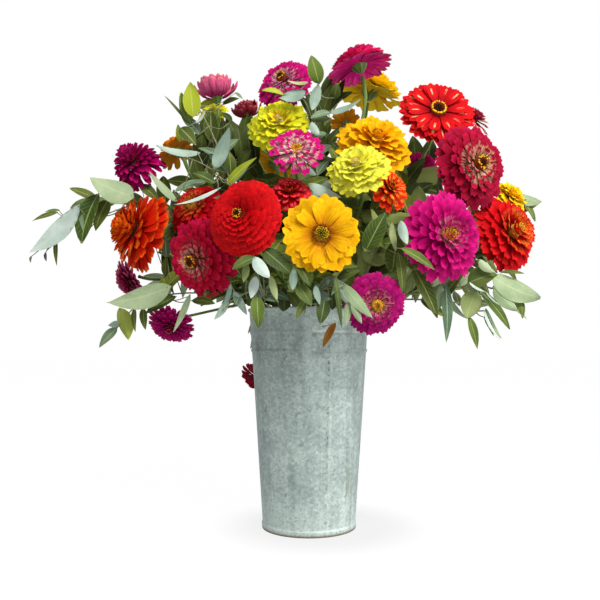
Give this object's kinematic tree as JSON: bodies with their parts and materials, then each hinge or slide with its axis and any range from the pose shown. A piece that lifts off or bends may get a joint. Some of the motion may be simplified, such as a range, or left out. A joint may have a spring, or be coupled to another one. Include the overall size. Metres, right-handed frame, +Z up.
{
  "type": "zinnia bouquet in a vase",
  "caption": "Free-standing bouquet of mixed zinnias with grey-green leafy sprays, standing in water in a tall flared galvanized flower bucket.",
  "frame": {"origin": "middle of the bucket's flat base, on the surface it stands on", "axes": "+Z up; the bouquet faces -Y and +X is to the right as seen from the front"},
  "size_m": [0.7753, 0.4719, 0.7494],
  "materials": {
    "galvanized_steel": "hot-dipped zinc, dull, spangled and streaked",
    "water": "still water, faintly green",
    "stem_green": "matt, finely haired green stem",
    "leaf_sage": "matt pale sage, lighter underneath",
    "leaf_grey": "matt waxy grey-green",
    "leaf_olive": "half-matt olive green",
    "leaf_green": "half-matt mid green",
    "petals_scarlet": "velvety scarlet",
    "petals_crimson": "velvety dark crimson",
    "petals_burgundy": "velvety burgundy",
    "petals_flame": "velvety red-orange with yellow tips",
    "petals_orange": "velvety orange",
    "petals_gold": "velvety golden yellow",
    "petals_lime": "velvety lime green",
    "petals_magenta": "velvety magenta",
    "petals_purple": "velvety purple",
    "petals_mauve": "velvety dusty mauve"
  },
  "bodies": {
    "root": {"vase": "galvanized_steel", "water": "water", "flower_stems": "stem_green", "crown_crimson": "petals_purple", "crown_gold": "petals_gold", "top_magenta": "petals_magenta", "burgundy_bud": "petals_burgundy", "mauve_half_open": "petals_mauve", "lime_left": "petals_lime", "lime_large": "petals_lime", "striped_magenta": "petals_magenta", "small_scarlet": "petals_scarlet", "orange_left": "petals_orange", "purple_pompon": "petals_purple", "flame_left": "petals_flame", "purple_left_low": "petals_purple", "purple_hanging": "petals_purple", "dark_red_left": "petals_crimson", "crimson_left": "petals_crimson", "scarlet_front": "petals_scarlet", "gold_front": "petals_gold", "gold_top": "petals_gold", "pale_lime": "petals_lime", "small_flame": "petals_flame", "scarlet_striped": "petals_scarlet", "purple_right": "petals_purple", "magenta_inner": "petals_magenta", "crimson_right": "petals_crimson", "yellow_right": "petals_gold", "magenta_right": "petals_magenta", "scarlet_right": "petals_scarlet", "magenta_low": "petals_magenta", "back_magenta": "petals_magenta", "back_purple": "petals_purple", "crimson_hanging": "petals_crimson", "back_gold": "petals_gold", "back_scarlet": "petals_scarlet", "back_lime": "petals_lime", "back_crimson": "petals_crimson", "back_orange": "petals_orange", "back_flame": "petals_flame", "spray_left_high": "leaf_sage", "spray_left_low": "leaf_sage", "spray_right_high": "leaf_sage", "spray_right_out": "leaf_sage", "spray_right_drop": "leaf_olive", "spray_right_mid": "leaf_green", "spray_front_left": "leaf_grey", "spray_front_right": "leaf_grey", "spray_top_centre": "leaf_grey", "spray_left_top": "leaf_grey", "spray_back_left": "leaf_sage", "spray_back_centre": "leaf_olive", "spray_back_right": "leaf_sage", "spray_back_low": "leaf_grey", "spray_back_top": "leaf_grey"}
  },
  "joints": []
}
